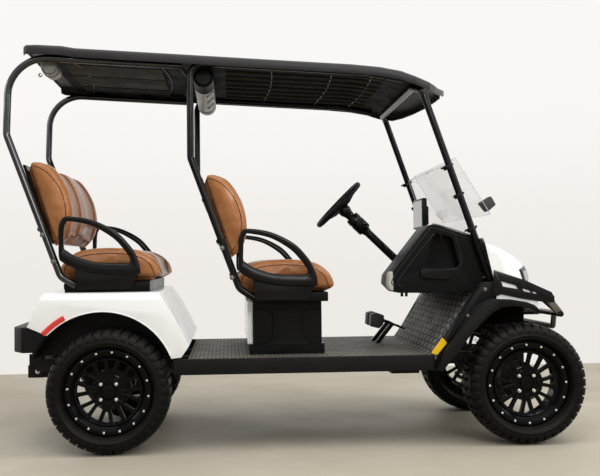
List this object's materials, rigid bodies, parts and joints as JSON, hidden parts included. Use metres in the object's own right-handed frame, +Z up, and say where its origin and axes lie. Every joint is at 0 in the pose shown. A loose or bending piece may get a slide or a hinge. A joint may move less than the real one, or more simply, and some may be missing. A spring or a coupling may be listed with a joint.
{
  "type": "four-seat lifted electric golf cart",
  "caption": "Lifted electric golf cart with two forward-facing bench seats, a long roof on struts, folding windshield, brush guard and large wheels",
  "frame": {"origin": "on the ground, at the middle of the vehicle's length and width", "axes": "+X forward along the vehicle, +Y to the driver's left, +Z up"},
  "size_m": [2.7826, 1.246, 1.9288],
  "materials": {
    "white": "glossy moulded body panel",
    "black_plastic": "grained black plastic",
    "black_steel": "satin black powder coat",
    "roof_black": "fine-grained dark grey-black",
    "tan_leather": "saddle-brown marine vinyl leather",
    "tyre_rubber": "new black rubber",
    "gloss_black": "high-gloss black",
    "clear_pane": "clear acrylic",
    "red_lens": "clear red lens",
    "lamp": "dark lamp under clear lens",
    "floor_mat": "ribbed rubber mat",
    "grip": "soft-touch black",
    "screen": "dark housing with a light display",
    "speaker_grey": "satin grey tube"
  },
  "bodies": {
    "vehicle": {"rear_body": "white", "front_cowl": "white", "seat_box_back": "white", "rear_wheel_liners": "black_plastic", "rear_bumper": "black_plastic", "fender_flares": "black_plastic", "dashboard": "black_plastic", "front_seat_box": "black_plastic", "rear_seat_base": "black_plastic", "front_seat_back_shell": "black_plastic", "rear_seat_back_shell": "black_plastic", "front_armrests": "black_plastic", "rear_armrests": "black_plastic", "roof_liner": "black_plastic", "windshield_clips": "black_plastic", "rocker_panels": "black_plastic", "steering_column": "black_plastic", "battery_pack": "black_plastic", "chassis_frame": "black_steel", "front_struts": "black_steel", "middle_struts": "black_steel", "rear_struts": "black_steel", "brush_guard": "black_steel", "hitch_receiver": "black_steel", "pedals": "black_steel", "front_axle": "black_steel", "rear_axle": "black_steel", "leaf_springs": "black_steel", "roof": "roof_black", "front_seat_back": "tan_leather", "rear_seat_back": "tan_leather", "windshield": "clear_pane", "rear_lights": "red_lens", "headlights": "lamp", "floor_pan": "floor_mat", "touch_screen": "screen", "overhead_speakers": "speaker_grey"},
    "steering_knuckle_left": {"steering_knuckle_left": "black_steel"},
    "front_left_wheel": {"front_left_rim": "gloss_black", "front_left_tyre": "tyre_rubber"},
    "rear_left_wheel": {"rear_left_rim": "gloss_black", "rear_left_tyre": "tyre_rubber"},
    "steering_knuckle_right": {"steering_knuckle_right": "black_steel"},
    "front_right_wheel": {"front_right_rim": "gloss_black", "front_right_tyre": "tyre_rubber"},
    "rear_right_wheel": {"rear_right_rim": "gloss_black", "rear_right_tyre": "tyre_rubber"},
    "tie_rod": {"tie_rod": "black_steel"},
    "steering_wheel": {"steering_wheel": "grip"},
    "front_seat_cushion": {"front_seat_cushion": "tan_leather"},
    "rear_seat_cushion": {"rear_seat_cushion": "tan_leather"}
  },
  "joints": [
    {"name": "steer_left", "type": "hinge", "parent": "vehicle", "child": "steering_knuckle_left", "pos_m": [1.0993, 0.385, 0.292], "axis": [0, 0, 1], "range_deg": [-28, 28]},
    {"name": "steer_right", "type": "hinge", "parent": "vehicle", "child": "steering_knuckle_right", "pos_m": [1.0993, -0.385, 0.292], "axis": [0, 0, 1], "range_deg": [-28, 28]},
    {"name": "tie_rod_slide", "type": "slide", "parent": "vehicle", "child": "tie_rod", "axis": [0, 1, 0], "range_m": [-0.055, 0.055]},
    {"name": "steering_wheel_turn", "type": "hinge", "parent": "vehicle", "child": "steering_wheel", "pos_m": [0.2953, 0.292, 1.214], "axis": [-0.7193, 0, 0.6947], "range_deg": [-285, 285]},
    {"name": "front_left_wheel_spin", "type": "hinge", "parent": "steering_knuckle_left", "child": "front_left_wheel", "pos_m": [1.0993, 0.509, 0.292], "axis": [0, 1, 0], "continuous": true},
    {"name": "rear_left_wheel_spin", "type": "hinge", "parent": "vehicle", "child": "rear_left_wheel", "pos_m": [-0.9007, 0.509, 0.292], "axis": [0, 1, 0], "continuous": true},
    {"name": "front_right_wheel_spin", "type": "hinge", "parent": "steering_knuckle_right", "child": "front_right_wheel", "pos_m": [1.0993, -0.509, 0.292], "axis": [0, 1, 0], "continuous": true},
    {"name": "rear_right_wheel_spin", "type": "hinge", "parent": "vehicle", "child": "rear_right_wheel", "pos_m": [-0.9007, -0.509, 0.292], "axis": [0, 1, 0], "continuous": true},
    {"name": "rear_seat_lift", "type": "hinge", "parent": "vehicle", "child": "rear_seat_cushion", "pos_m": [-0.7107, 0, 0.808], "axis": [0, 1, 0], "range_deg": [0, 55]},
    {"name": "front_seat_lift", "type": "hinge", "parent": "vehicle", "child": "front_seat_cushion", "pos_m": [0.1433, 0, 0.744], "axis": [0, 1, 0], "range_deg": [0, 55]}
  ],
  "couplings": [
    {"joint": "steer_right", "follows": "steer_left", "ratio": 1},
    {"joint": "tie_rod_slide", "follows": "steer_left", "m_per_rad": -0.11},
    {"joint": "steering_wheel_turn", "follows": "steer_left", "ratio": 10}
  ]
}
